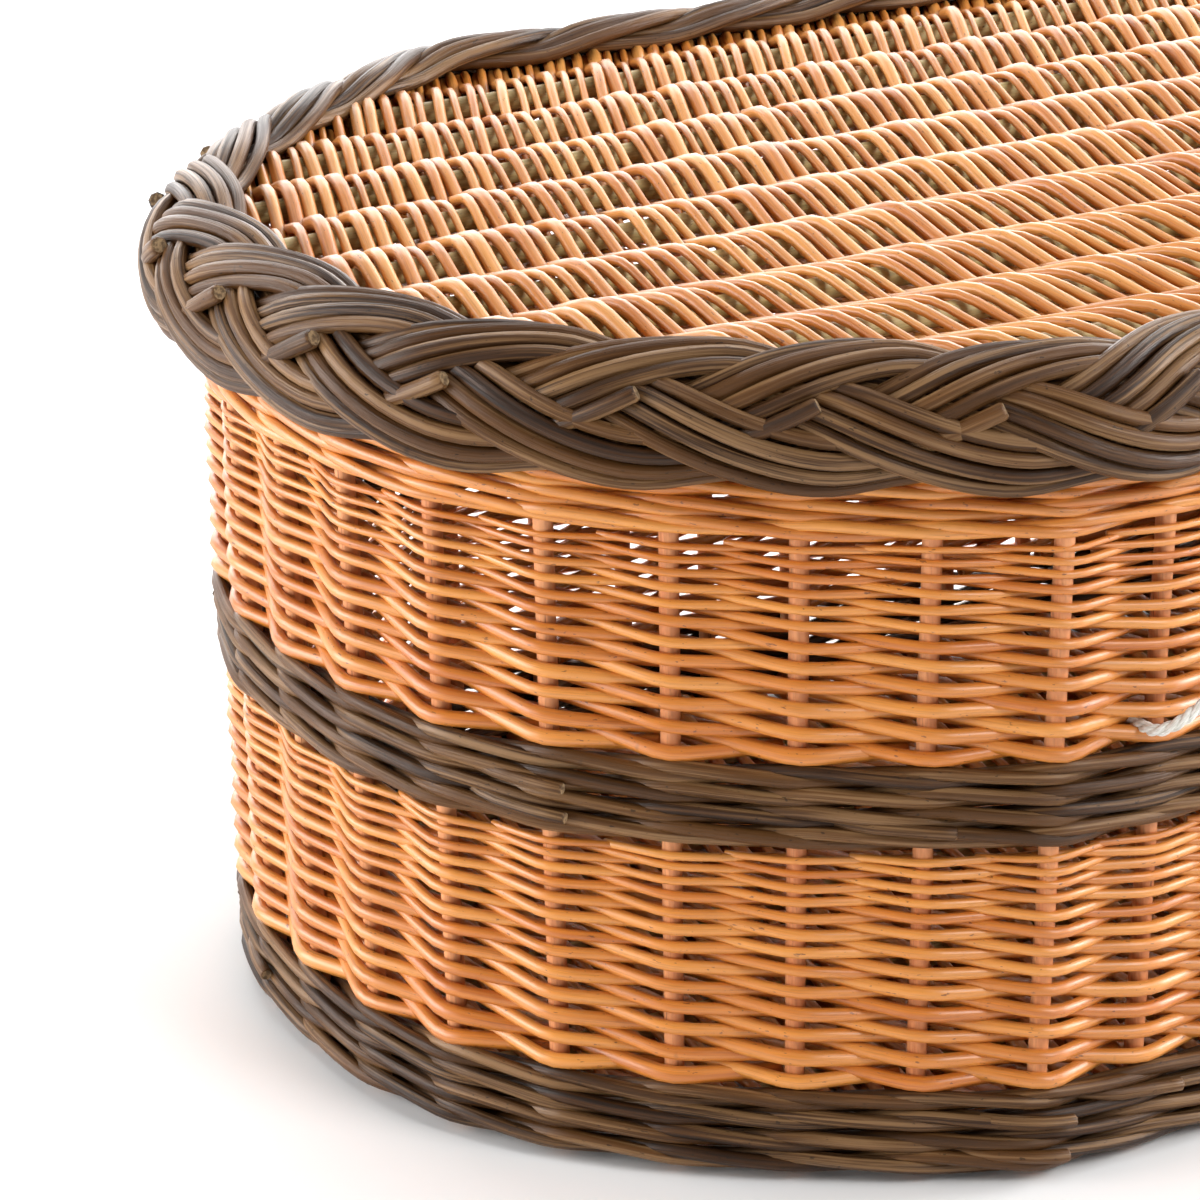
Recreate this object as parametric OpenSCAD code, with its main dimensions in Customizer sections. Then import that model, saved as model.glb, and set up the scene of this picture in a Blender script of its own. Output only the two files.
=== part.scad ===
// Oblong willow picnic basket with rounded ends and a hinged, plaited lid.
// Millimetres, +X along the length, +Y to the hinged back, +Z up.
// The origin is the middle of the footprint, on the surface the basket stands on.

/* [Plan] */
// Length of the straight stretch of each long side
side_l = 320; // [240:4:420]
// How far each rounded end reaches past the straight sides, at the stake centres
end_l = 132; // [100:1:170]
// Width between the stake centres of the two long sides
body_w = 336; // [270:2:420]
// Bluntness of the rounded ends
end_power = 2.6; // [2.2:0.1:3]
// Outward lean of the wall, in millimetres for each millimetre of height
wall_lean = 0.04; // [0.02:0.01:0.05]

/* [Wall] */
// Thickness of the woven wall
wall_t = 12; // [10:0.5:15]
// Height of the brown foot wale
foot_h = 29; // [24:1:36]
// Height of the lower randed band
lower_h = 69; // [50:1:90]
// Height of the brown middle wale
middle_h = 28; // [20:1:36]
// How far the middle wale stands out past the bands
middle_bulge = 1.5; // [0:0.5:3]
// Height of the upper randed band
upper_h = 61; // [45:1:80]
// Height of the top wale under the border
top_wale_h = 25; // [22:1:32]
// Height of the border that the lid rests on
border_h = 10; // [8:0.5:14]

/* [Stakes] */
// Spacings along each rounded end
end_spacings = 14; // [10:2:18]
// Spacings along each straight side
side_spacings = 10; // [8:1:14]
// Diameter of an upright stake
stake_d = 5.5; // [4:0.25:6.5]
// How far a stake stops short of the ground and of the top of the border
stake_inset = 3; // [2:0.5:5]

/* [Base] */
// Height of the woven base above the ground
base_lift = 5; // [3:0.5:8]
// Thickness of the woven base
base_t = 11; // [10:0.5:13]
// Diameter of a base stick
base_stick_d = 7; // [5:0.5:8]
// Distance from the outermost of the five base sticks to the stakes of the side
base_edge = 60; // [50:1:70]
// Width of the hoop round the base
base_frame_w = 9; // [7:0.5:12]

/* [Lid] */
// Width of the square-set hoop that carries the lid
lid_frame_w = 8; // [6:0.5:9]
// Height of that hoop
lid_frame_h = 8; // [7:0.5:9]
// Thickness of the woven lid
lid_t = 13; // [10:0.5:14]
// Height of the woven lid's underside above the underside of its hoop
lid_weave_up = 1; // [0.5:0.5:2]
// Diameter of a lid stick
lid_stick_d = 6.5; // [5:0.5:7]
// Distance from the outermost of the nine lid sticks to the stakes of the side
lid_edge = 24; // [22:1:30]
// How far the plait overhangs the outer face of the border
plait_overhang = 12; // [10:0.5:16]
// How far the plait hangs below the rim of the body
plait_drop = 19; // [16:0.5:20]
// How far the plait stands above the rim of the body
plait_rise = 17.5; // [16:0.5:20]

/* [Hinge] */
// Diameter of the hinge rod
hinge_rod_d = 6; // [5:0.5:7]
// Length of the hinge rod
hinge_rod_l = 262; // [220:2:280]
// Outside diameter of a loop or holder round the rod
loop_d = 13; // [12:0.5:14]
// Width of a loop along the rod
loop_w = 14; // [10:1:20]
// Spacing of the three lid loops
loop_gap = 80; // [60:2:88]

/* [Tie] */
// Diameter of the tie cord
cord_d = 3.6; // [3:0.2:4]
// Distance from the last corner stake to the hole for the cord
cord_exit_in = 25.5; // [20:0.5:28]
// Height of the holes for the cord above the middle wale
cord_exit_up = 5; // [4:0.5:8]
// Diameter of a knot inside the wall
knot_d = 10; // [8:0.5:12]
// Diameter of the peg's shank
peg_d = 6; // [5:0.5:7]
// Diameter of the peg's head
peg_head_d = 11; // [10:0.5:13]
// Thickness of the peg's head
peg_head_t = 2.4; // [2:0.2:3]
// Height of the peg above the lower edge of the plait
peg_up = 5; // [4.5:0.5:7]
// How far the peg and the hinge loops stand proud of the plait
proud = 6.5; // [6:0.5:8]

/* [Fits] */
// Gap between the closed lid and the border
lid_gap = 0.3; // [0.3:0.1:0.6]
// Radial clearance of a stick or stake in the weave
weave_fit = 0.1; // [0.05:0.05:0.2]
// Radial running clearance of the loops on the hinge rod
hinge_fit = 0.08; // [0.03:0.01:0.1]
// Gap between the plait and the outer face of the wall
skirt_gap = 2; // [1.8:0.1:2.4]
// Gap between the plait's lower edge and the rings round the hinge rod
ring_gap = 0.4; // [0.3:0.1:0.8]
// Gap between the cord and what it passes
cord_gap = 0.3; // [0.2:0.05:0.5]
// Gap between the end of a stick and the hoop round it
stick_end_gap = 0.6; // [0.5:0.1:1]

/* [Hidden] */

BUFF = [0.86, 0.55, 0.30];
BROWN = [0.42, 0.34, 0.26];
PEELED = [0.78, 0.70, 0.48];
COTTON = [0.95, 0.94, 0.90];

half_w = body_w / 2;
lower_z = foot_h;
middle_z = lower_z + lower_h;
upper_z = middle_z + middle_h;
top_wale_z = upper_z + upper_h;
border_z = top_wale_z + top_wale_h;
rim_z = border_z + border_h;
lid_z = rim_z + lid_gap;
rim_off = wall_lean * rim_z;

// A stake stands in the foot and ends just under the top of the border.
stake_z0 = stake_inset;
stake_z1 = rim_z - stake_inset;

base_off = wall_lean * foot_h / 2 - wall_t / 2;
base_mid_z = base_lift + base_t / 2;
base_stick_gap = (half_w - base_edge) / 2;

lid_weave_z = lid_z + lid_weave_up;
lid_stick_z = lid_weave_z + lid_t / 2;
lid_in_off = rim_off - lid_frame_w / 2;
lid_stick_gap = (half_w - lid_edge) / 4;

plait_out = wall_t / 2 + plait_overhang;
outer_y = half_w + rim_off + plait_out;
tip_y = outer_y + proud;

axis_y = tip_y - loop_d / 2;
axis_z = lid_z - plait_drop - loop_d / 2 - ring_gap;
holder_gap = loop_gap;
neck_h = 14;

peg_z = lid_z - plait_drop + peg_up;
cord_exit_z = upper_z + cord_exit_up;
cord_span = side_l / 2 - cord_exit_in;

// One end of the plan runs from the front corner to the back corner.
function end_x(y, off) =
    side_l / 2 + (end_l + off) * (1 - pow(min(1, abs(y) / (half_w + off)), end_power));
END_SAMPLES = 120;
function end_sample(i) =
    let (y = -half_w * cos(180 * i / END_SAMPLES)) [end_x(y, 0), y];
function end_lengths(i = 1, total = 0, rows = [[0, -half_w]]) =
    i > END_SAMPLES ? rows :
    let (s = total + norm(end_sample(i) - end_sample(i - 1)))
    end_lengths(i + 1, s, concat(rows, [[s, end_sample(i)[1]]]));
END_TABLE = end_lengths();
END_TOTAL = END_TABLE[END_SAMPLES][0];

// Point k spacings round an end, moved out from the stake centres by off
function end_point(k, off) =
    let (y = lookup(END_TOTAL * k / end_spacings, END_TABLE) * (half_w + off) / half_w)
    [end_x(y, off), y];
function outline(off) = concat(
    [for (k = [0 : 0.5 : end_spacings]) end_point(k, off)],
    [for (k = [end_spacings : -0.5 : 0]) [-end_point(k, off)[0], end_point(k, off)[1]]]);

// Points of stake number i on each run, moved out by off
function right_stake(i, off) = end_point(i, off);
function left_stake(i, off) = [-end_point(i, off)[0], end_point(i, off)[1]];
function front_stake(i, off) = [-side_l / 2 + side_l * i / side_spacings, -half_w - off];
function back_stake(i, off) = [front_stake(i, off)[0], half_w + off];

// A round rod from a to b. Its quarter turn keeps the seam of a bore off the corners of the wall.
module rod(a, b, d) {
    v = b - a;
    translate(a)
        rotate([0, acos(v[2] / norm(v)), atan2(v[1], v[0])])
            rotate([0, 0, 90])
                cylinder(h = norm(v), d = d, $fn = 32);
}

module stake_rod(low, high, d, extra) {
    v = [high[0] - low[0], high[1] - low[1], stake_z1 - stake_z0];
    step = v * extra / norm(v);
    rod([low[0], low[1], stake_z0] - step, [high[0], high[1], stake_z1] + step, d);
}

module end_stake_rods(side, d, extra) {
    for (i = [1 : end_spacings - 1])
        stake_rod([side * end_point(i, wall_lean * stake_z0)[0], end_point(i, wall_lean * stake_z0)[1]],
                  [side * end_point(i, wall_lean * stake_z1)[0], end_point(i, wall_lean * stake_z1)[1]],
                  d, extra);
}

module side_stake_rods(side, d, extra) {
    for (i = [0 : side_spacings])
        stake_rod([front_stake(i, 0)[0], side * (half_w + wall_lean * stake_z0)],
                  [front_stake(i, 0)[0], side * (half_w + wall_lean * stake_z1)],
                  d, extra);
}

module all_stake_rods(d, extra) {
    end_stake_rods(1, d, extra);
    end_stake_rods(-1, d, extra);
    side_stake_rods(1, d, extra);
    side_stake_rods(-1, d, extra);
}

// A flat ring round the plan, from inner to outer, standing from z0 to z0 + h
module ring(inner, outer, z0, h) {
    translate([0, 0, z0])
        linear_extrude(height = h)
            difference() {
                polygon(outline(outer));
                polygon(outline(inner));
            }
}

// A band of the woven wall, bored for the stakes
module wall_band(z0, h, bulge = 0) {
    off = wall_lean * (z0 + h / 2);
    difference() {
        ring(off - wall_t / 2, off + wall_t / 2 + bulge, z0, h);
        all_stake_rods(stake_d + 2 * weave_fit, 1);
    }
}

module foot_wale() {
    color(BROWN) wall_band(0, foot_h);
}

module lower_rand() {
    color(BUFF) wall_band(lower_z, lower_h);
}

module middle_wale() {
    color(BROWN) wall_band(middle_z, middle_h, middle_bulge);
}

module cord_holes() {
    for (side = [-1, 1])
        translate([side * cord_span, 0, cord_exit_z])
            rotate([90, 0, 0])
                cylinder(h = half_w + 2 * wall_t, d = cord_d + 2 * cord_gap, $fn = 32);
}

module upper_rand() {
    color(BUFF)
        difference() {
            wall_band(upper_z, upper_h);
            cord_holes();
        }
}

module top_wale() {
    color(BUFF) wall_band(top_wale_z, top_wale_h);
}

module body_border() {
    color(BUFF) wall_band(border_z, border_h);
}

module front_stakes() {
    color(PEELED) side_stake_rods(-1, stake_d, 0);
}

module back_stakes() {
    color(PEELED) side_stake_rods(1, stake_d, 0);
}

module left_end_stakes() {
    color(PEELED) end_stake_rods(-1, stake_d, 0);
}

module right_end_stakes() {
    color(PEELED) end_stake_rods(1, stake_d, 0);
}

module base_frame() {
    color(BROWN) ring(base_off - base_frame_w, base_off, base_lift, base_t);
}

// A straight stick along X, cut to the plan at the side of it that is nearer the wall
module cross_stick(y, off, z, d, past_end) {
    reach = end_x(abs(y) + d / 2, off) - stick_end_gap + past_end;
    rod([-reach, y, z], [reach, y, z], d);
}

module base_weave() {
    off = base_off - base_frame_w;
    color(BUFF)
        difference() {
            translate([0, 0, base_lift])
                linear_extrude(height = base_t)
                    polygon(outline(off));
            for (i = [-2 : 2])
                cross_stick(i * base_stick_gap, off, base_mid_z, base_stick_d + 2 * weave_fit, wall_t);
        }
}

module base_stick(i) {
    color(PEELED)
        cross_stick((i - 3) * base_stick_gap, base_off - base_frame_w, base_mid_z, base_stick_d, 0);
}

module lid_frame() {
    color(BROWN)
        ring(rim_off - lid_frame_w / 2, rim_off + lid_frame_w / 2, lid_z, lid_frame_h);
}

module lid_weave() {
    color(BUFF)
        difference() {
            translate([0, 0, lid_weave_z])
                linear_extrude(height = lid_t)
                    polygon(outline(lid_in_off));
            for (i = [-4 : 4])
                cross_stick(i * lid_stick_gap, lid_in_off, lid_stick_z,
                            lid_stick_d + 2 * weave_fit, wall_t);
        }
}

module lid_stick(i) {
    color(PEELED)
        cross_stick((i - 5) * lid_stick_gap, lid_in_off, lid_stick_z, lid_stick_d, 0);
}

// Section of the plait as [distance out from the stake centres, height above the lid's seat].
// It laps onto the woven lid, wraps over the hoop and hangs outside the wall.
skirt_in = wall_t / 2 + skirt_gap;
lid_top = lid_weave_up + lid_t;
frame_out = lid_frame_w / 2;
PLAIT_SECTION = [
    [-frame_out - 8, lid_top],
    [-frame_out - 5, plait_rise - 1.5],
    [0, plait_rise],
    [plait_out * 0.6, plait_rise - 5.5],
    [plait_out, -1],
    [plait_out - 1, 4 - plait_drop],
    [skirt_in + 4, -plait_drop],
    [skirt_in, 3 - plait_drop],
    [skirt_in, lid_frame_h],
    [-frame_out, lid_frame_h],
    [-frame_out, lid_top]];

// Sweeps a section round the plan as one closed ring
module swept_ring(section, off, z) {
    n = len(section);
    stations = len(outline(0));
    rings = [for (p = section) outline(off + p[0])];
    points = [for (s = [0 : stations - 1]) for (j = [0 : n - 1])
        [rings[j][s][0], rings[j][s][1], z + section[j][1]]];
    faces = [for (s = [0 : stations - 1]) for (j = [0 : n - 1]) for (half = [0, 1])
        let (a = s * n + j,
             b = s * n + (j + 1) % n,
             c = ((s + 1) % stations) * n + (j + 1) % n,
             d = ((s + 1) % stations) * n + j)
        half == 0 ? [a, b, c] : [a, c, d]];
    polyhedron(points = points, faces = faces);
}

module lid_plait() {
    color(BROWN) swept_ring(PLAIT_SECTION, rim_off, lid_z);
}

module hinge_rod() {
    color(PEELED)
        rod([-hinge_rod_l / 2, axis_y, axis_z], [hinge_rod_l / 2, axis_y, axis_z], hinge_rod_d);
}

module rod_bore() {
    translate([0, axis_y, axis_z])
        rotate([0, 90, 0])
            cylinder(h = hinge_rod_l + 2 * loop_w, d = hinge_rod_d + 2 * hinge_fit, center = true, $fn = 48);
}

module collar(x, w) {
    translate([x, axis_y, axis_z])
        rotate([0, 90, 0])
            cylinder(h = w, d = loop_d, center = true, $fn = 48);
}

// Four eyes reach out from the back wall and hold the rod between and beside the loops.
module rod_holders() {
    arm_y = half_w + wall_lean * (top_wale_z + top_wale_h / 2) + wall_t / 2;
    arm_h = loop_d * 0.7;
    color(BUFF)
        difference() {
            for (i = [-1.5 : 1 : 1.5])
                union() {
                    collar(i * holder_gap, loop_w * 0.8);
                    translate([i * holder_gap - loop_w * 0.4, arm_y, axis_z - arm_h / 2])
                        cube([loop_w * 0.8, axis_y - arm_y, arm_h]);
                }
            rod_bore();
        }
}

module hinge_loops() {
    color(BROWN)
        difference() {
            for (i = [-1 : 1])
                union() {
                    collar(i * loop_gap, loop_w);
                    translate([i * loop_gap - loop_w / 2, axis_y - loop_d / 2, axis_z])
                        cube([loop_w, loop_d * 0.62, neck_h]);
                }
            rod_bore();
        }
}

module tie_peg() {
    head_y = tip_y - peg_head_t;
    color(PEELED)
        union() {
            rod([0, -half_w - rim_off - skirt_in, peg_z], [0, -head_y, peg_z], peg_d);
            rod([0, -head_y, peg_z], [0, -tip_y, peg_z], peg_head_d);
        }
}

// The cord's route on the left of the peg, from its knot to the top of the peg, as
// [distance in from the hole towards the peg, distance out from the wall's outer face,
// height above the hole]. The right half mirrors it.
CORD_ROUTE = [
    [0, -18, 0], [0, -12, 0], [0, -6, 0], [0, -1, 0], [0.6, 2, 0.3], [2.3, 4.3, 1.4],
    [6, 6, 3.6], [16, 7, 9.5], [28, 8, 16.5], [44, 9.2, 26], [60, 10.4, 35.5], [76, 11.6, 45],
    [92, 12.8, 54.5], [106, 14, 63], [116, 14.5, 69], [123, 15, 73], [128, 15, 76.5]];

wall_face_y = half_w + wall_lean * (upper_z + upper_h / 2) + wall_t / 2;
cord_turn = (peg_d + cord_d) / 2 + cord_gap;
cord_rest_y = tip_y - peg_head_t - cord_d / 2 - cord_gap;
route_end = CORD_ROUTE[len(CORD_ROUTE) - 1];
// The route is stretched so that its last point always meets the turn over the peg.
turn_start = [cord_span - cord_turn * cos(35), peg_z + cord_turn * sin(35) - cord_exit_z];
function route_point(p) = [
    -cord_span + p[0] * turn_start[0] / route_end[0],
    -wall_face_y - (p[0] > 0 ? p[1] * (cord_rest_y - wall_face_y) / route_end[1] : p[1]),
    cord_exit_z + p[2] * turn_start[1] / route_end[2]];
left_half = [for (p = CORD_ROUTE) route_point(p)];
turn_points = [for (a = [125 : -17.5 : 55])
    [cord_turn * cos(a), -cord_rest_y, peg_z + cord_turn * sin(a)]];
cord_path = concat(left_half, turn_points,
    [for (i = [len(left_half) - 1 : -1 : 0])
        [-left_half[i][0], left_half[i][1], left_half[i][2]]]);

// Direction of the path at point i
function path_dir(path, i) =
    let (a = path[max(0, i - 1)], b = path[min(len(path) - 1, i + 1)]) (b - a) / norm(b - a);
// The tube's rings share one reference direction, because the cord never runs along it.
CORD_SIDES = 8;
function tube_ring(path, i, r) =
    let (t = path_dir(path, i),
         u = cross(t, [0.35, 0.15, -0.92]) / norm(cross(t, [0.35, 0.15, -0.92])),
         v = cross(t, u))
    [for (k = [0 : CORD_SIDES - 1])
        path[i] + r * (cos(360 * k / CORD_SIDES) * u + sin(360 * k / CORD_SIDES) * v)];

module tube(path, d) {
    n = CORD_SIDES;
    last = len(path) - 1;
    points = [for (i = [0 : last]) for (p = tube_ring(path, i, d / 2)) p];
    sides = [for (i = [0 : last - 1]) for (j = [0 : n - 1]) for (half = [0, 1])
        let (a = i * n + j, b = i * n + (j + 1) % n, c = a + n, e = b + n)
        half == 0 ? [a, c, e] : [a, e, b]];
    start_cap = [[for (j = [0 : n - 1]) j]];
    end_cap = [[for (j = [n - 1 : -1 : 0]) last * n + j]];
    polyhedron(points = points, faces = concat(sides, start_cap, end_cap));
}

module tie_cord() {
    color(COTTON) tube(cord_path, cord_d);
}

module tie_knots() {
    color(COTTON)
        for (side = [-1, 1])
            translate([side * cord_span, -wall_face_y + wall_t + knot_d / 2, cord_exit_z])
                sphere(d = knot_d, $fn = 32);
}

base_frame();
base_weave();
base_stick(1);  // base_stick_1
base_stick(2);  // base_stick_2
base_stick(3);  // base_stick_3
base_stick(4);  // base_stick_4
base_stick(5);  // base_stick_5
foot_wale();
front_stakes();
back_stakes();
left_end_stakes();
right_end_stakes();
lower_rand();
middle_wale();
upper_rand();
top_wale();
body_border();
hinge_rod();
rod_holders();
tie_cord();
tie_knots();
lid_frame();
lid_weave();
lid_stick(1);  // lid_stick_1
lid_stick(2);  // lid_stick_2
lid_stick(3);  // lid_stick_3
lid_stick(4);  // lid_stick_4
lid_stick(5);  // lid_stick_5
lid_stick(6);  // lid_stick_6
lid_stick(7);  // lid_stick_7
lid_stick(8);  // lid_stick_8
lid_stick(9);  // lid_stick_9
lid_plait();
hinge_loops();
tie_peg();
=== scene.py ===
"""Looks of the oblong willow picnic basket.

Every rod of the weave is a swept tube: the randed bands, the wales, the border, the woven lid and
base, the lid's plait with its cut ends, the willow rings of the hinge, the peg and the tie cord.
The stakes, the lid and base sticks and the hinge rod are the CAD's own cylinders.
"""

import math
import bpy
import numpy as np
from mathutils import Matrix, Vector


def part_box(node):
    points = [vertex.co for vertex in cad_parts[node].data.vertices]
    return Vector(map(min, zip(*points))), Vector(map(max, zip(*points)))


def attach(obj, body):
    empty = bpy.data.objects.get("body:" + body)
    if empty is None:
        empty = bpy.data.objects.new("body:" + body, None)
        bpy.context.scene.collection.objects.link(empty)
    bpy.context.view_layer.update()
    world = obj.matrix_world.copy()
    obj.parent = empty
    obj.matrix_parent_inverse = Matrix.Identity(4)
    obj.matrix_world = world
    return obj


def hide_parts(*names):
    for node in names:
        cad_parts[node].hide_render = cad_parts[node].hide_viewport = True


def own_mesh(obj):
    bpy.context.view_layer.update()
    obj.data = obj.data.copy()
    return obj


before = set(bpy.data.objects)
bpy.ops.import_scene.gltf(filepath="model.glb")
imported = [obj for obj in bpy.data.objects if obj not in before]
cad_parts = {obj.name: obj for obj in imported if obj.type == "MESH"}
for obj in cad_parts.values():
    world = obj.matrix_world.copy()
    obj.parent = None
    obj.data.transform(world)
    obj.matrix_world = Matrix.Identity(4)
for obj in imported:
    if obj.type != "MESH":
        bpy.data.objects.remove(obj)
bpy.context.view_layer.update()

MM = 0.001
X_AXIS = np.array([1.0, 0.0, 0.0])
Z_AXIS = np.array([0.0, 0.0, 1.0])

# ---------------------------------------------------------------- sizes, from the CAD frame

LEAN = 0.04         # how far the wall leans out for each metre of height
END_POWER = 2.6     # shape of the rounded ends: 2 is an ellipse, more is squarer
WALL_T = 12 * MM    # thickness of the woven wall
STAKE_R = 2.75 * MM
SIDE_SPACINGS = 10  # spaces between stakes along a straight side
END_SPACINGS = 14   # spaces between stakes round an end
STAKES = 2 * (SIDE_SPACINGS + END_SPACINGS)


def span(node):
    low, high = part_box(node)
    return np.array(low), np.array(high)


def heights(node):
    low, high = span(node)
    return low[2], high[2]


def straight_rod(node):
    """Centre and radius of a CAD rod that runs along X."""
    low, high = span(node)
    return (low + high) / 2, min(high[1:] - low[1:]) / 2


LID_STICKS = [f"lid_stick_{i}" for i in range(1, 10)]
BASE_STICKS = [f"base_stick_{i}" for i in range(1, 6)]
SIDE_HALF = span("front_stakes")[1][0] - STAKE_R
BAND_LOW, BAND_HIGH = span("lower_rand")
BAND_OFF = LEAN * (BAND_LOW[2] + BAND_HIGH[2]) / 2 + WALL_T / 2
HALF_W = BAND_HIGH[1] - BAND_OFF
END_L = BAND_HIGH[0] - SIDE_HALF - BAND_OFF
RIM_Z = heights("body_border")[1]
LID_Z = heights("lid_frame")[0]
RIM_OFF = LEAN * RIM_Z


# ---------------------------------------------------------------- plan of the basket


def end_curve(y, off):
    """How far the rounded end reaches along X at width y, moved out by off."""
    share = np.clip(np.abs(y) / (HALF_W + off), 0, 1)
    return SIDE_HALF + (END_L + off) * (1 - share**END_POWER)


def stake_tables():
    """Place of each stake on the ground plan, and how it moves for each metre of offset.

    Stake 0 is the front left corner. The count runs along the front, round the right end,
    back along the hinged side and round the left end.
    """
    y = -HALF_W * np.cos(np.linspace(0, math.pi, 400))
    x = end_curve(y, 0.0)
    length = np.r_[0, np.cumsum(np.hypot(np.diff(x), np.diff(y)))]
    at = np.interp(np.linspace(0, length[-1], END_SPACINGS + 1), length, y)
    side_x = np.linspace(-SIDE_HALF, SIDE_HALF, SIDE_SPACINGS + 1)[:-1]
    end_place = np.c_[end_curve(at, 0.0), at][:-1]
    end_move = np.c_[1 - (np.abs(at) / HALF_W) ** END_POWER, at / HALF_W][:-1]
    front = np.c_[side_x, np.full(SIDE_SPACINGS, -HALF_W)]
    front_move = np.tile([0.0, -1.0], (SIDE_SPACINGS, 1))
    place = np.r_[front, end_place]
    move = np.r_[front_move, end_move]
    return np.r_[place, -place], np.r_[move, -move]


PLACE, MOVE = stake_tables()


def catmull_rom(p0, p1, p2, p3, t):
    """A point of the smooth curve from p1 to p2, which is t of the way along."""
    return 0.5 * (2 * p1 + t * (p2 - p0) + t**2 * (2 * p0 - 5 * p1 + 4 * p2 - p3)
                  + t**3 * (3 * p1 - p0 - 3 * p2 + p3))


def smooth_through(points, steps):
    """A smooth curve through an open row of points, with so many steps between each two."""
    ends = np.r_[[2 * points[0] - points[1]], points, [2 * points[-1] - points[-2]]]
    curve = [catmull_rom(*ends[i:i + 4], t)
             for i in range(len(points) - 1) for t in np.linspace(0, 1, steps, endpoint=False)]
    curve = np.array(curve + [points[-1]])
    return curve, np.r_[0, np.cumsum(np.linalg.norm(np.diff(curve, axis=0), axis=1))]


def table_at(table, u, smooth):
    """Reads a closed table of stakes at fractional stake numbers u."""
    i = np.floor(u).astype(int)
    t = (u - i)[:, None]
    p1 = table[i % STAKES]
    p2 = table[(i + 1) % STAKES]
    if not smooth:
        return p1 + t * (p2 - p1)
    return catmull_rom(table[(i - 1) % STAKES], p1, p2, table[(i + 2) % STAKES], t)


def soften(points, closed, passes):
    """Rounds the corners that a path has where it passes a stake."""
    for _ in range(passes):
        if closed:
            before, after = np.roll(points, 1, axis=0), np.roll(points, -1, axis=0)
        else:
            before = np.r_[points[:1], points[:-1]]
            after = np.r_[points[1:], points[-1:]]
        points = (before + 2 * points + after) / 4
    return points


def wall_path(u, z, radial, closed=False, passes=1, smooth=False):
    """Points at stake number u and height z, radial metres out from the stakes' centres."""
    off = (LEAN * z + radial)[:, None]
    xy = table_at(PLACE, u, smooth) + off * table_at(MOVE, u, smooth)
    return soften(np.c_[xy, z], closed, passes)


def wobble(t, amount, rng, longest=6.0):
    """A smooth, seeded irregularity along t, which repeats after each longest wave."""
    total = np.zeros_like(t)
    for k in range(3):
        wave = longest / (1.0 + k)
        total += np.sin(2 * math.pi * (t / wave + rng.random())) / (1 + k)
    return amount * total / 1.8


# ---------------------------------------------------------------- rods as tubes

GRAIN_SHIFT = 3.7  # metres of grain between one rod and the next, so that no two look alike
WORN_RIM = 0.3     # how far a cut end's rim is worn back, in radii
CUT_SHARE = 0.8    # radius of the flat of a cut end, in radii


def rod_frames(path, reference, closed):
    """Two directions across a rod at each of its points: to the side of reference, and near it."""
    if closed:
        along = np.roll(path, -1, axis=0) - np.roll(path, 1, axis=0)
    else:
        along = np.gradient(path, axis=0)
    along /= np.linalg.norm(along, axis=1)[:, None]
    side = np.cross(along, reference)
    side /= np.linalg.norm(side, axis=1)[:, None]
    return side, np.cross(side, along)


def cut_end(end, before, radius):
    """A point just past a rod's end, which the rod narrows to, so that the cut has a worn rim."""
    reach = np.linalg.norm(before - end)
    return end + (end - before) * min(WORN_RIM, WORN_RIM * radius / reach)


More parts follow.
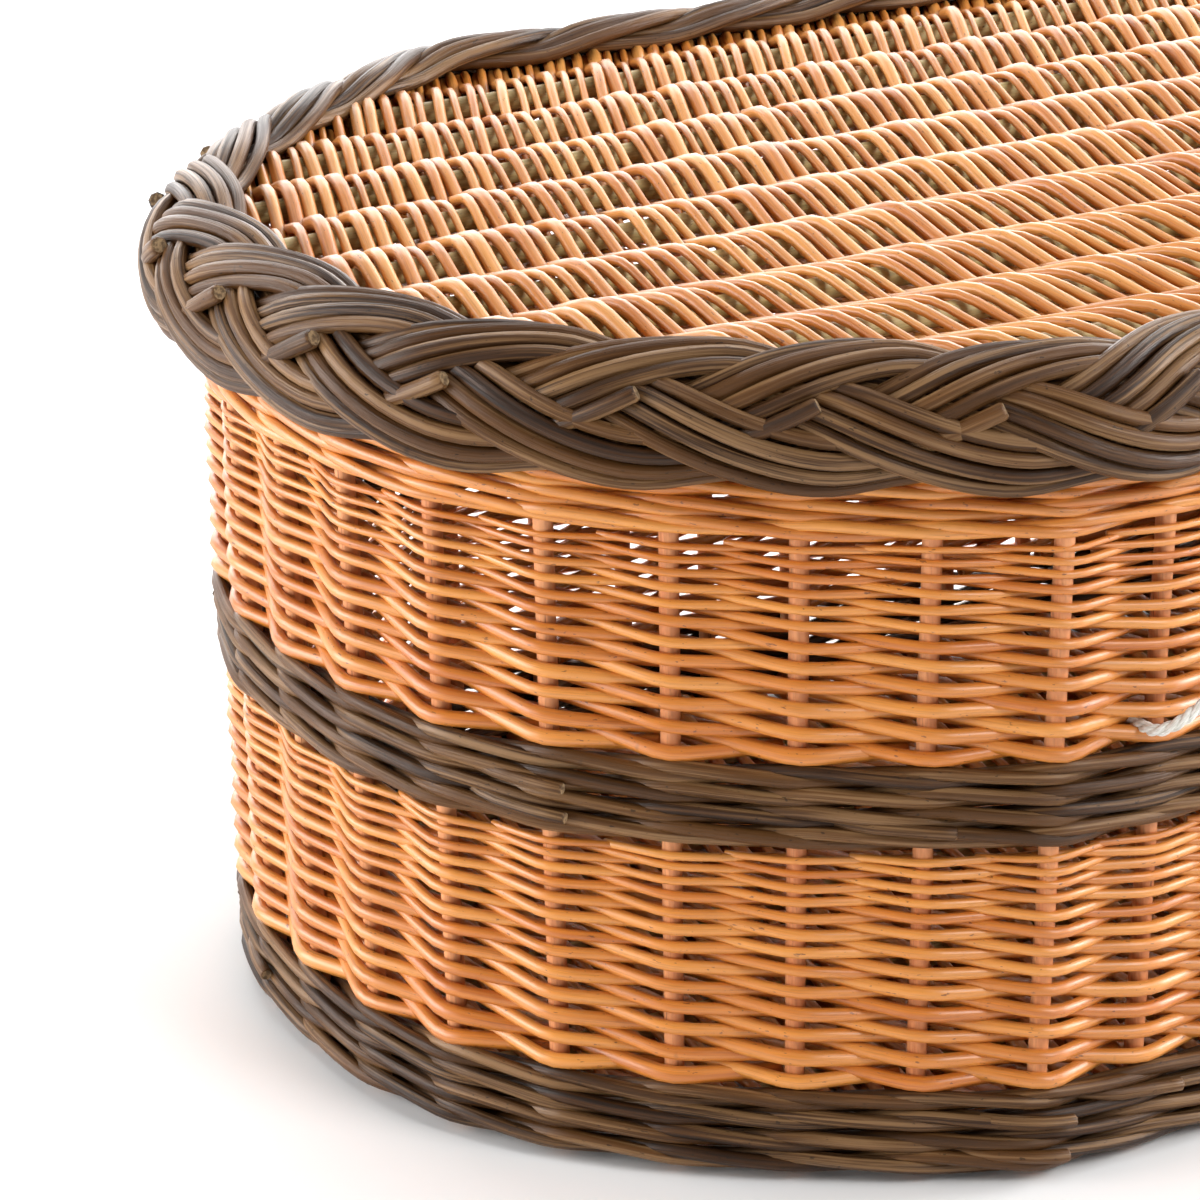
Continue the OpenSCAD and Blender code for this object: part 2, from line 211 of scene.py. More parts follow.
class Bundle:
    """Collects rods and builds one mesh from them.

    Each point of a rod keeps a "fibre" coordinate, metres along the rod and two metres across
    it, which the materials read, and a "tone", which is one random number for each rod.
    """

    def __init__(self, seed, sides=8):
        self.rng = np.random.default_rng(seed)
        self.sides = sides
        self.points, self.quads, self.caps = [], [], []
        self.fibre, self.tone = [], []
        self.count = 0
        self.rods = 0

    def rod(self, path, radius, closed=False, reference=Z_AXIS, tone=None):
        """Adds one rod. Its path never runs along the reference direction."""
        radius = np.broadcast_to(np.asarray(radius, float), (len(path),))
        if not closed:
            first = cut_end(path[0], path[1], radius[0])
            last = cut_end(path[-1], path[-2], radius[-1])
            path = np.r_[[first], path, [last]]
            radius = np.r_[radius[0] * CUT_SHARE, radius, radius[-1] * CUT_SHARE]
        n, m = len(path), self.sides
        side, up = rod_frames(path, reference, closed)
        turn = 2 * math.pi * np.arange(m) / m
        cos, sin = np.cos(turn), np.sin(turn)
        ring = side[:, None, :] * cos[None, :, None] + up[:, None, :] * sin[None, :, None]
        points = path[:, None, :] + radius[:, None, None] * ring
        steps = np.linalg.norm(np.diff(path, axis=0), axis=1)
        along = np.r_[0, np.cumsum(steps)]
        if closed:
            # Counted up and back down again, so that the grain has no seam where the rod closes.
            around = along[-1] + np.linalg.norm(path[0] - path[-1])
            along = np.minimum(along, around - along)
        fibre = np.empty((n, m, 3))
        fibre[:, :, 0] = along[:, None] + GRAIN_SHIFT * self.rods
        fibre[:, :, 1] = radius[:, None] * cos[None, :]
        fibre[:, :, 2] = radius[:, None] * sin[None, :]
        rows = np.arange(n if closed else n - 1)
        a = rows[:, None] * m + np.arange(m)[None, :]
        b = rows[:, None] * m + (np.arange(m)[None, :] + 1) % m
        shift = ((rows + 1) % n - rows)[:, None] * m
        quads = np.stack([a, b, b + shift, a + shift], axis=-1).reshape(-1, 4)
        self.quads.append(quads + self.count)
        if not closed:
            self.caps.append(np.arange(m)[::-1] + self.count)
            self.caps.append(np.arange(m) + (n - 1) * m + self.count)
        self.points.append(points.reshape(-1, 3))
        self.fibre.append(fibre.reshape(-1, 3))
        value = self.rng.random() if tone is None else tone
        self.tone.append(np.full(n * m, value))
        self.count += n * m
        self.rods += 1

    def build(self, name, skin, cut=None):
        """Makes the mesh, with skin on the rods and cut on their ends."""
        points = np.concatenate(self.points)
        quads = np.concatenate(self.quads)
        caps = np.array(self.caps, int).reshape(-1, self.sides)
        mesh = bpy.data.meshes.new(name)
        mesh.vertices.add(len(points))
        mesh.vertices.foreach_set("co", points.ravel())
        corners = np.r_[quads.ravel(), caps.ravel()]
        mesh.loops.add(len(corners))
        mesh.loops.foreach_set("vertex_index", corners)
        cap_starts = len(quads) * 4 + np.arange(len(caps)) * self.sides
        starts = np.r_[np.arange(len(quads)) * 4, cap_starts]
        totals = np.r_[np.full(len(quads), 4), np.full(len(caps), self.sides)]
        mesh.polygons.add(len(starts))
        mesh.polygons.foreach_set("loop_start", starts)
        mesh.polygons.foreach_set("loop_total", totals)
        is_cap = np.r_[np.zeros(len(quads), int), np.ones(len(caps), int)]
        mesh.polygons.foreach_set("use_smooth", is_cap == 0)
        mesh.materials.append(skin)
        mesh.materials.append(cut or skin)
        mesh.polygons.foreach_set("material_index", is_cap)
        fibre = mesh.attributes.new("fibre", "FLOAT_VECTOR", "POINT")
        fibre.data.foreach_set("vector", np.concatenate(self.fibre).ravel())
        tone = mesh.attributes.new("tone", "FLOAT", "POINT")
        tone.data.foreach_set("value", np.concatenate(self.tone))
        mesh.update(calc_edges=True)
        mesh.validate()
        piece = bpy.data.objects.new(name, mesh)
        bpy.context.scene.collection.objects.link(piece)
        return piece


# ---------------------------------------------------------------- materials


class Graph:
    """A short way to write a material's nodes."""

    def __init__(self, name):
        self.material = bpy.data.materials.new(name)
        self.material.use_nodes = True
        self.nodes = self.material.node_tree.nodes
        self.links = self.material.node_tree.links
        self.shader = self.nodes["Principled BSDF"]

    def put(self, socket, value):
        if isinstance(value, bpy.types.NodeSocket):
            self.links.new(value, socket)
        else:
            socket.default_value = value

    def attribute(self, name, output):
        node = self.nodes.new("ShaderNodeAttribute")
        node.attribute_name = name
        return node.outputs[output]

    def object_place(self):
        return self.nodes.new("ShaderNodeTexCoord").outputs["Object"]

    def scaled(self, vector, scale, shift=(0, 0, 0)):
        node = self.nodes.new("ShaderNodeMapping")
        self.put(node.inputs["Vector"], vector)
        node.inputs["Scale"].default_value = scale
        node.inputs["Location"].default_value = shift
        return node.outputs["Vector"]

    def noise(self, vector, detail=3.0, rough=0.55):
        node = self.nodes.new("ShaderNodeTexNoise")
        self.put(node.inputs["Vector"], vector)
        node.inputs["Scale"].default_value = 1.0
        node.inputs["Detail"].default_value = detail
        node.inputs["Roughness"].default_value = rough
        return node.outputs["Fac"]

    def math(self, operation, a, b):
        node = self.nodes.new("ShaderNodeMath")
        node.operation = operation
        self.put(node.inputs[0], a)
        self.put(node.inputs[1], b)
        return node.outputs[0]

    def between(self, value, low, high, to_low=0.0, to_high=1.0):
        node = self.nodes.new("ShaderNodeMapRange")
        node.interpolation_type = "SMOOTHSTEP"
        for socket, number in zip(node.inputs, (value, low, high, to_low, to_high)):
            self.put(socket, number)
        return node.outputs[0]

    def mix(self, factor, a, b):
        node = self.nodes.new("ShaderNodeMix")
        node.data_type = "RGBA"
        self.put(node.inputs["Factor"], factor)
        self.put(node.inputs["A"], a if isinstance(a, bpy.types.NodeSocket) else (*a, 1.0))
        self.put(node.inputs["B"], b if isinstance(b, bpy.types.NodeSocket) else (*b, 1.0))
        return node.outputs["Result"]

    def bump(self, height, distance, strength=1.0):
        node = self.nodes.new("ShaderNodeBump")
        node.inputs["Distance"].default_value = distance
        node.inputs["Strength"].default_value = strength
        self.put(node.inputs["Height"], height)
        self.put(self.shader.inputs["Normal"], node.outputs["Normal"])


def srgb(red, green, blue):
    """An sRGB colour, 0 to 255, as the linear values that shaders take."""
    return tuple(((v / 255 + 0.055) / 1.055) ** 2.4 if v > 10 else v / 3295 for v in (red, green, blue))


GRAIN_HEIGHT = 0.22 * MM
WAX_ROUGH = 0.32
CUT_HEIGHT = 0.3 * MM
COTTON_HEIGHT = 0.4 * MM


def willow(name, dark, middle, light, mark, rough, grain=1.0, fibre=None, marks=1.0, wax=0.0,
           gloss=0.5, bloom_and_highlight=None):
    """Willow rod: lengthwise fibres, slow changes of colour along it, dark specks, and pale patches that
    are partly the bark's bloom and partly a painted highlight.

    The noises' scales are in waves for each metre along the rod and across it. A CAD rod has no
    fibre attribute, so fibre then says how its own coordinates are stretched.
    """
    g = Graph(name)
    if fibre is None:
        place, tone = g.attribute("fibre", "Vector"), g.attribute("tone", "Fac")
    else:
        place, tone = g.scaled(g.object_place(), fibre), g.noise(g.scaled(g.object_place(), (9, 9, 3)))
    streak = g.noise(g.scaled(place, (16, 950, 950)), 4.0, 0.6)
    fine = g.noise(g.scaled(place, (70, 2600, 2600), (4, 2, 7)), 2.0)
    slow = g.noise(g.scaled(place, (11, 120, 120), (3, 1, 5)), 2.0)
    speck = g.noise(g.scaled(place, (330, 900, 900), (8, 3, 1)), 2.0, 0.7)
    joint = g.noise(g.scaled(place, (150, 60, 60), (1, 9, 2)), 1.0)
    body = g.mix(g.between(streak, 0.32, 0.68), dark, middle)
    shade = g.math("ADD", g.math("MULTIPLY", tone, 0.45), g.math("MULTIPLY", slow, 0.9))
    body = g.mix(g.between(shade, 0.42, 0.95, 0.0, 0.85), body, light)
    body = g.mix(g.between(fine, 0.45, 0.75, 0.0, 0.25), body, mark)
    if bloom_and_highlight:
        # Pale patches where the streak and slow noises are both high: partly the bark's bloom, partly a
        # painted highlight.
        patch = g.between(g.math("MULTIPLY", streak, slow), 0.22, 0.38, 0.0, 0.7)
        body = g.mix(patch, body, bloom_and_highlight)
    body = g.mix(g.between(speck, 0.66, 0.72, 0.0, 0.75 * marks), body, mark)
    body = g.mix(g.between(joint, 0.72, 0.78, 0.0, 0.55 * marks), body, mark)
    g.put(g.shader.inputs["Base Color"], body)
    g.put(g.shader.inputs["Roughness"], g.between(streak, 0.3, 0.7, rough + 0.08, rough - 0.06))
    g.shader.inputs["Specular IOR Level"].default_value = gloss
    g.shader.inputs["Coat Weight"].default_value = wax
    g.shader.inputs["Coat Roughness"].default_value = WAX_ROUGH
    g.bump(g.math("ADD", streak, g.math("MULTIPLY", fine, 0.5)), GRAIN_HEIGHT * grain, 0.8)
    return g.material


def cut_wood(name, dark, pale):
    """The cut face of a rod, mottled between two colours of wood."""
    g = Graph(name)
    place = g.object_place()
    grain = g.noise(g.scaled(place, (900, 900, 900)), 3.0)
    g.put(g.shader.inputs["Base Color"], g.mix(g.between(grain, 0.35, 0.65), dark, pale))
    g.shader.inputs["Roughness"].default_value = 0.8
    g.bump(grain, CUT_HEIGHT)
    return g.material


def cotton(name):
    """Soft white cotton with fine loose fibres."""
    g = Graph(name)
    place = g.attribute("fibre", "Vector")
    ply = g.noise(g.scaled(place, (500, 2500, 2500)), 3.0)
    soil = g.noise(g.scaled(g.object_place(), (60, 60, 60)), 2.0)
    body = g.mix(g.between(ply, 0.3, 0.7), srgb(205, 200, 188), srgb(246, 244, 238))
    body = g.mix(g.between(soil, 0.5, 0.8, 0.0, 0.3), body, srgb(196, 184, 160))
    g.put(g.shader.inputs["Base Color"], body)
    g.shader.inputs["Roughness"].default_value = 0.9
    g.shader.inputs["Sheen Weight"].default_value = 0.3
    g.bump(ply, COTTON_HEIGHT)
    return g.material


BUFF = willow("buff_willow", srgb(184, 100, 28), srgb(206, 122, 40), srgb(222, 148, 66),
              srgb(86, 40, 10), 0.42, wax=0.6)
BUFF_LID = willow("buff_willow_lid", srgb(184, 104, 30), srgb(206, 130, 48), srgb(222, 156, 78),
                  srgb(90, 44, 14), 0.46, wax=0.6)
# The brown willow's pale patch colour is partly bark bloom and partly a painted highlight.
BROWN = willow("brown_willow", srgb(34, 17, 4), srgb(74, 44, 16), srgb(98, 62, 26),
               srgb(12, 6, 2), 0.4, grain=2.4, marks=0.9, gloss=0.3, bloom_and_highlight=srgb(146, 112, 76))
PEELED = willow("peeled_stick", srgb(150, 128, 72), srgb(190, 168, 104), srgb(214, 198, 142),
                srgb(88, 70, 34), 0.5, fibre=(1, 1, 1))
STAKE_SKIN = willow("buff_stake", srgb(182, 104, 54), srgb(208, 134, 82), srgb(226, 164, 112),
                    srgb(96, 48, 22), 0.5, fibre=(1, 1, 0.06))
CUT_PALE = cut_wood("cut_buff", srgb(176, 120, 70), srgb(232, 200, 150))
CUT_BROWN = cut_wood("cut_brown", srgb(94, 72, 48), srgb(158, 130, 94))
COTTON = cotton("white_cotton")
PEG_SKIN = willow("turned_peg", srgb(190, 150, 96), srgb(214, 178, 124), srgb(230, 202, 156),
                  srgb(120, 84, 44), 0.5, grain=0.6, marks=0.4)


# ---------------------------------------------------------------- the woven wall

STEPS = 8             # points for each stake spacing
ZIGZAG_PEAK = 1.151   # about 1 + 1/9 + 1/25
RAND_TAPER = 0.36     # how much closer the thin ends of the randing rods lie than the thick ones
PRESSED = 0.95        # how close a waling rod sits to its stake, in radii
WALE_FOOT = 1.12      # height of the lowest waling rod over the band's lower edge, in radii


def zigzag(t):
    """1 at even stakes and -1 at odd ones, nearly straight between them."""
    wave = np.cos(math.pi * t) + np.cos(3 * math.pi * t) / 9 + np.cos(5 * math.pi * t) / 25
    return wave / ZIGZAG_PEAK


def randed_band(node, rows, thick, thin, seed):
    """French randing: one tapering rod for each stake, in front of one and behind the next.

    Every rod falls to the right by half a row for each stake that it passes.
    """
    low, high = heights(node)
    bottom, top = low + thick * 0.75, high - thin * 0.8
    rods = Bundle(seed, sides=7)
    # A rod starts inside the basket, between two stakes, and ends behind a stake.
    t = np.arange(-0.6, 2 * rows + 1.01, 1.0 / STEPS)
    share = np.clip(1 - t / (2 * rows), 0, 1)
    climb = share * (1 + RAND_TAPER * (1 - share))
    for start in range(STAKES):
        radius = thick + (thin - thick) * share**0.9
        radius = radius * (1 + wobble(t, 0.08, rods.rng, 9.0)) * rods.rng.uniform(0.9, 1.1)
        z = bottom + (top - bottom) * climb + wobble(t, 0.55 * MM, rods.rng, 3.0)
        radial = (STAKE_R + radius) * zigzag(t) + wobble(t, 0.25 * MM, rods.rng, 4.0)
        rods.rod(wall_path(start + t, z, radial), radius)
    return rods.build(node + "_rods", BUFF, CUT_PALE)


def wale_wave(v):
    """How far out a waling rod runs: in front of stakes 0 and 1 and behind stake 2."""
    return np.interp(v, [0, 0.5, 1, 2, 3], [1, 1.12, 1, -1, 1])


def wale_level(v):
    """Height of a waling rod in its round, from 2 where it comes out to 0 where it goes in."""
    return np.interp(v, [0, 1, 2, 3], [2, 1, 0, 2])


def waled_band(node, rounds, radius, skin, cut, seed, butts, loose):
    """Rounds of three-rod waling, each rod in front of two stakes and behind one.

    butts is the number of cut ends that show, and loose is how far a rod strays from level.
    """
    low, high = heights(node)
    rods = Bundle(seed, sides=7)
    layer = (high - low - 2 * radius) / (2 * rounds)
    u = np.arange(0, STAKES, 1.0 / STEPS)
    for q in range(rounds):
        for strand in range(3):
            v = (u - strand - q) % 3
            r = radius * (1 + wobble(u, 0.10, rods.rng, STAKES / 8.0))
            z = low + radius * WALE_FOOT + layer * (2 * q + wale_level(v))
            z = z + wobble(u, loose, rods.rng, STAKES / 12.0)
            radial = (STAKE_R + r * PRESSED) * wale_wave(v)
            radial = radial + wobble(u, 0.3 * MM, rods.rng, STAKES / 10.0)
            rods.rod(wall_path(u, z, radial, closed=True, passes=2), r, closed=True)
    for _ in range(butts):
        new_rod_end(rods, low, high, radius)
    return rods.build(node + "_rods", skin, cut)


def new_rod_end(rods, low, high, radius):
    """The cut butt of a rod that was added to the wale, which stands a little proud of it."""
    at = rods.rng.integers(0, STAKES) + rods.rng.uniform(0.2, 0.4)
    level = rods.rng.uniform(0.25, 0.8)
    t = np.linspace(-1.1, 0.0, 8)
    z = low + (high - low) * (level - 0.06 * t)
    hidden = t < -0.8
    out = 1.6 + 1.7 * np.clip(t + 0.6, -0.6, 0.6) - 2.2 * hidden
    rods.rod(wall_path(at + t, z, STAKE_R + radius * out), radius * 0.95)


def rope_border(name, node, seed):
    """The border on the body's rim: three rods laid like a rope on the stake ends."""
    low, high = heights(node)
    rods = Bundle(seed)
    radius = (high - low) * 0.27
    # The rope is a little flat: lower than it is wide.
    up_orbit, out_orbit = radius * 0.78, radius * 1.15
    u = np.arange(0, STAKES, 1.0 / STEPS)
    for strand in range(3):
        turn = 2 * math.pi * (u / 2 + strand / 3)
        z = (low + high) / 2 + up_orbit * np.sin(turn)
        radial = out_orbit * np.cos(turn)
        r = radius * (1 + wobble(u, 0.06, rods.rng, STAKES / 8.0))
        rods.rod(wall_path(u, z, radial, closed=True, smooth=True), r, closed=True)
    return rods.build(name, BUFF, CUT_PALE)


# ---------------------------------------------------------------- woven panels

PANEL_STEPS = 7      # points for each stick spacing
LEAN_ROOM = 60 * MM  # weavers that start this far past an end may still lean into the plan
SHORTEST = 10        # points of the shortest weaver
STICK_HOLD = 0.92    # how close a weaver sits to its stick, in radii
EDGE = 14 * MM       # the weave flattens over this distance from the frame


def inside_depth(x, y, off):
    """Rough distance from a point to the plan's edge, positive inside."""
    return np.minimum(end_curve(y, off) - np.abs(x), HALF_W + off - np.abs(y))


def woven_panel(name, sticks, off, gap, radius, spread, seed, lean, skin, edge_lift):
    """Weavers across the long sticks, each over one and under the next.

    gap is the distance between two weavers, spread how much their radii vary, and edge_lift
    how far their ends rise to the frame.
    """
    rods = Bundle(seed, sides=7)
    middle, stick_r = straight_rod(sticks[0])
    stick_gap = straight_rod(sticks[1])[0][1] - middle[1]
    centre_z = middle[2]
    middle_stick = len(sticks) // 2
    reach = SIDE_HALF + END_L + off + LEAN_ROOM
    y = np.arange(-HALF_W - off, HALF_W + off, stick_gap / PANEL_STEPS)
    for number, x0 in enumerate(np.arange(-reach, reach, gap)):
        r = radius * (1 + rods.rng.uniform(-spread, spread))
        x = x0 + lean(x0, y) + wobble(y / stick_gap, 1.1 * MM, rods.rng, 4.0)
        depth = inside_depth(x, y, off)
        keep = np.flatnonzero(depth > 0)
        if len(keep) < SHORTEST:
            continue
        part = slice(keep[0], keep[-1] + 1)
        turn = math.pi * (y[part] / stick_gap + middle_stick + number)
        fade = np.clip(depth[part] / EDGE, 0, 1)
        wave = np.cos(turn) + 0.07 * np.cos(3 * turn)
        z = centre_z + (stick_r + r * STICK_HOLD) * wave * fade + edge_lift * (1 - fade)
        z = z + wobble(y[part] / stick_gap, 0.4 * MM, rods.rng, 3.0)
        taper = 1 + 0.12 * np.sin(y[part] / (HALF_W + off) * 1.5 + number)
        # A leaning weaver has less room beside it.
        taper = taper / np.sqrt(1 + np.gradient(x[part], y[part]) ** 2)
        rods.rod(np.c_[x[part], y[part], z], r * taper, reference=X_AXIS)
    return rods.build(name, skin, CUT_PALE)


def lid_lean(x0, y):
    """The lid's weavers fan out at the ends, and bow most at the front."""
    across = y / HALF_W
    end = np.clip(abs(x0) / 0.28 - 0.25, 0, 1)
    bow = np.where(across < 0, 0.50, 0.24) * across * (1 - 0.75 * end)
    return y * (-0.02 + bow - 0.30 * end * np.sign(x0))


def no_lean(x0, y):
    return np.zeros_like(y)


def hoop_rods(name, off_and_height, radius, skin, seed):
    """Plain rods bent round the plan, each at its own offset and height."""
    rods = Bundle(seed)
    u = np.arange(0, STAKES, 2.0 / STEPS)
    for off, z in off_and_height:
        height = z + wobble(u, 0.3 * MM, rods.rng, STAKES / 6.0)
        path = wall_path(u, height, off - LEAN * height, closed=True, smooth=True)
        rods.rod(path, radius, closed=True)
    return rods.build(name, skin, CUT_BROWN)


# ---------------------------------------------------------------- the plait round the lid

PLAIT_STRANDS = 5
PLAIT_REPEATS = 35
PLAIT_STEPS = 10         # points for each repeat
PLAIT_ROD = 2.3 * MM     # radius of a rod
PLAIT_LANE = 4.45 * MM   # between two rods of a strand
PLAIT_SWING = 17.5 * MM  # from the middle of the plait to a strand's turn
PLAIT_DEPTH = 2.7 * MM   # how far a strand rises over the middle and sinks under it
PLAIT_OFF = 12 * MM      # how far outside the stakes' centres the repeats are even
CUT_LANE = -2.5          # the new rods lie beside the strand's own four lanes
CUT_RISE = 2.2 * MM      # how far their cut ends stand up
# Middle line of the plait's section, from under the overhang to the woven lid, as
# millimetres out from the stakes' centres and up from the lid's seat.
PLAIT_LINE = [(10.4, -17.5), (13.6, -12.5), (15.2, -6), (15.2, 0.5), (13, 7), (8, 12),
              (1.5, 14.8), (-5.5, 15.4), (-12, 13.4)]


def plait_section():
    """The section's middle line as lengths, points and outward normals."""
    points, length = smooth_through(np.array(PLAIT_LINE) * MM, 12)
    along = np.gradient(points, axis=0)
    along /= np.linalg.norm(along, axis=1)[:, None]
    normal = np.c_[along[:, 1], -along[:, 0]]
    return length - length[-1] / 2, points, normal


SECTION_S, SECTION_P, SECTION_N = plait_section()


def rim_lengths():
    """Stake number for each length along the rim, so that the plait's repeats stay even."""
    u = np.linspace(0, STAKES, STAKES * STEPS + 1)
    xy = table_at(PLACE, u, True) + (RIM_OFF + PLAIT_OFF) * table_at(MOVE, u, True)
    return u, np.r_[0, np.cumsum(np.linalg.norm(np.diff(xy, axis=0), axis=1))]


RIM_U, RIM_S = rim_lengths()


def plait_path(s, across, lift, closed):
    """Points s metres along the rim, across metres over the plait and lift metres proud of it."""
    u = np.interp(s % RIM_S[-1], RIM_S, RIM_U)
    across = np.clip(across, SECTION_S[0], SECTION_S[-1])
    out, up = [np.interp(across, SECTION_S, SECTION_P[:, axis])
               + lift * np.interp(across, SECTION_S, SECTION_N[:, axis]) for axis in (0, 1)]
    off = (RIM_OFF + out)[:, None]
    xy = table_at(PLACE, u, True) + off * table_at(MOVE, u, True)
    return soften(np.c_[xy, LID_Z + up], closed, 1)


def plait_rod(s, phase, lane, period):
    """Place along and across the plait, and lift over it, of one rod of a strand."""
    slope = PLAIT_SWING * np.cos(phase) * 2 * math.pi / period
    tilt = np.sqrt(1 + slope**2)
    across = PLAIT_SWING * np.sin(phase) + lane * PLAIT_LANE / tilt
    lift = PLAIT_DEPTH * np.tanh(2.2 * np.sin(2 * phase))
    return s - lane * PLAIT_LANE * slope / tilt, across, lift


def plait(name, seed):
    """Five strands of four rods, each over two and under two, with a cut end at each repeat."""
    rods = Bundle(seed)
    repeat = RIM_S[-1] / PLAIT_REPEATS
    period = PLAIT_STRANDS * repeat
    s = np.linspace(0, RIM_S[-1], PLAIT_REPEATS * PLAIT_STEPS, endpoint=False)
    t = s / repeat
    for strand in range(PLAIT_STRANDS):
        for lane in (-1.5, -0.5, 0.5, 1.5):
            phase = 2 * math.pi * (s / period + strand / PLAIT_STRANDS)
            along, across, lift = plait_rod(s, phase, lane, period)
            across = across + wobble(t, 0.3 * MM, rods.rng, PLAIT_REPEATS / 7.0)
            # The outer rods of a strand lie lower than the inner ones.
            lift = lift - 0.15 * PLAIT_ROD * lane**2
            lift = lift + wobble(t, 0.35 * MM, rods.rng, PLAIT_REPEATS / 9.0)
            r = PLAIT_ROD * (1 + wobble(t, 0.09, rods.rng, PLAIT_REPEATS / 6.0))
            rods.rod(plait_path(along, across, lift, True), r, closed=True)
    for k in range(PLAIT_REPEATS):
        reach = math.radians(rods.rng.uniform(26, 38))
        phase = np.linspace(math.radians(-50), reach, 18)
        along = k * repeat + phase / (2 * math.pi) * period
        along, across, lift = plait_rod(along, phase, CUT_LANE, period)
        lift = lift + CUT_RISE * np.clip((phase - 0.25) / 0.4, 0, 1)
        rods.rod(plait_path(along, across, lift, False), PLAIT_ROD * rods.rng.uniform(1.0, 1.2))
    return rods.build(name, BROWN, CUT_BROWN)


# ---------------------------------------------------------------- hinge, peg and tie

RING_ROD = 1.55 * MM   # radius of the willow that the rings are wound from
RING_STEPS = 18        # points for each turn
RING_PLAY = 0.35 * MM  # between a ring and the hinge rod
LOOP_W = 14 * MM
LOOP_TAIL = 15 * MM    # how far a loop's tails run up into the plait
HOLDER_W = 11.2 * MM
HOLDER_DEPTH = 4 * MM  # how far a holder's tails run into the wall
PEG_R = 3 * MM
PEG_HEAD = 2.4 * MM    # thickness of the peg's head
CORD_D = 3.6 * MM
CORD_STEP = 0.9 * MM
CORD_PLAY = 0.3 * MM   # between the cord and the peg
TURN_FROM = 35         # degrees over the peg's middle, where the cord meets the turn round it
PLY_SHARE = 0.52       # radius of a ply, in radii of the cord


def ring_turns(rods, x, axis, coil_r, turns, start, width, lead_in, lead_out):
    """A willow ring: a coil round the hinge rod with a tail at each end."""
    angle = start + np.linspace(0, 2 * math.pi * turns, int(turns * RING_STEPS) + 1)
    rise = width - 3 * RING_ROD
    xs = x + np.linspace(-rise / 2, rise / 2, len(angle))
    coil = np.c_[xs, axis[1] + coil_r * np.cos(angle), axis[2] - coil_r * np.sin(angle)]
    head = coil[0] + np.linspace(1, 0, 6, endpoint=False)[:, None] * np.array(lead_in)
    tail = coil[-1] + np.linspace(0, 1, 7)[1:, None] * np.array(lead_out)
    rods.rod(soften(np.r_[head, coil, tail], False, 1), RING_ROD, reference=X_AXIS)


def hinge_pieces():
    """The lid's loops and, between and beside them, the body's holders, on one hinge rod."""
    axis, rod_r = straight_rod("hinge_rod")
    coil_r = rod_r + RING_ROD + RING_PLAY
    low, high = span("hinge_loops")
    loop_gap = (high[0] - low[0] - LOOP_W) / 2
    loops = Bundle(41)
    for i in (-1, 0, 1):
        ring_turns(loops, i * loop_gap, axis, coil_r, 4, 0.0, LOOP_W, (0, 0, LOOP_TAIL), (0, 0, LOOP_TAIL))
    reach = axis[1] - span("rod_holders")[0][1] + HOLDER_DEPTH
    holders = Bundle(43)
    for i in (-1.5, -0.5, 0.5, 1.5):
        ring_turns(holders, i * loop_gap, axis, coil_r, 2.5, -math.pi / 2, HOLDER_W,
                   (0, -reach, -1 * MM), (0, -reach, 1 * MM))
    return (loops.build("hinge_loop_rings", BROWN, CUT_BROWN),
            holders.build("rod_holder_rings", BUFF, CUT_PALE))


def turned_peg():
    """A peg turned on a lathe, with a rounded head."""
    low, high = span("tie_peg")
    centre_z = (low[2] + high[2]) / 2
    head_r = (high[2] - low[2]) / 2
    # Place along Y and radius, from the shank's end in the wall to the middle of the head's face.
    shank = [(high[1], PEG_R * 0.8), (high[1] - 1 * MM, PEG_R), (low[1] + 4.0 * MM, PEG_R),
             (low[1] + 3.0 * MM, PEG_R * 1.02)]
    rounding = [(2.4, 0.86), (1.9, 0.98), (1.2, 1), (0.5, 0.93), (0.1, 0.7), (0, 0.3)]
    head = [(low[1] + back * MM, head_r * share) for back, share in rounding]
    peg = Bundle(47, sides=32)
    path = np.array([[0.0, y, centre_z] for y, _ in shank + head])
    peg.rod(path, np.array([r for _, r in shank + head]), reference=X_AXIS, tone=0.8)
    return peg.build("turned_tie_peg", PEG_SKIN, PEG_SKIN)


# The left half of the cord's route, as in the CAD: in from the hole towards the peg, out from
# the wall's face, and up from the hole, in millimetres.
CORD_ROUTE = [
    (0, -18, 0), (0, -12, 0), (0, -6, 0), (0, -1, 0), (0.6, 2, 0.3), (2.3, 4.3, 1.4),
    (6, 6, 3.6), (16, 7, 9.5), (28, 8, 16.5), (44, 9.2, 26), (60, 10.4, 35.5), (76, 11.6, 45),
    (92, 12.8, 54.5), (106, 14, 63), (116, 14.5, 69), (123, 15, 73), (128, 15, 76.5)]


def cord_path():
    """The whole route, stretched as the CAD stretches it to meet the turn over the peg."""
    knots_low, knots_high = span("tie_knots")
    peg_low, peg_high = span("tie_peg")
    knot_r = (knots_high[2] - knots_low[2]) / 2
    exit_x = knots_high[0] - knot_r
    exit_z = (knots_low[2] + knots_high[2]) / 2
    face_y = -knots_low[1] + WALL_T
    peg_z = (peg_low[2] + peg_high[2]) / 2
    turn_r = PEG_R + CORD_D / 2 + CORD_PLAY
    rest_y = -peg_low[1] - PEG_HEAD - CORD_D / 2 - CORD_PLAY
    end = np.array(CORD_ROUTE[-1]) * MM
    reach_x = exit_x - turn_r * math.cos(math.radians(TURN_FROM))
    reach_z = peg_z + turn_r * math.sin(math.radians(TURN_FROM)) - exit_z
    left = []
    for point in CORD_ROUTE:
        inward, out, up = np.array(point) * MM
        out = out * (rest_y - face_y) / end[1] if inward > 0 else out
        left.append((-exit_x + inward * reach_x / end[0], -face_y - out, exit_z + up * reach_z / end[2]))
    turn = [(turn_r * math.cos(a), -rest_y, peg_z + turn_r * math.sin(a))
            for a in np.radians(np.arange(125, 54, -17.5))]
    right = [(-x, y, z) for x, y, z in left[::-1]]
    return np.array(left + turn + right), (-exit_x, -face_y, exit_z)


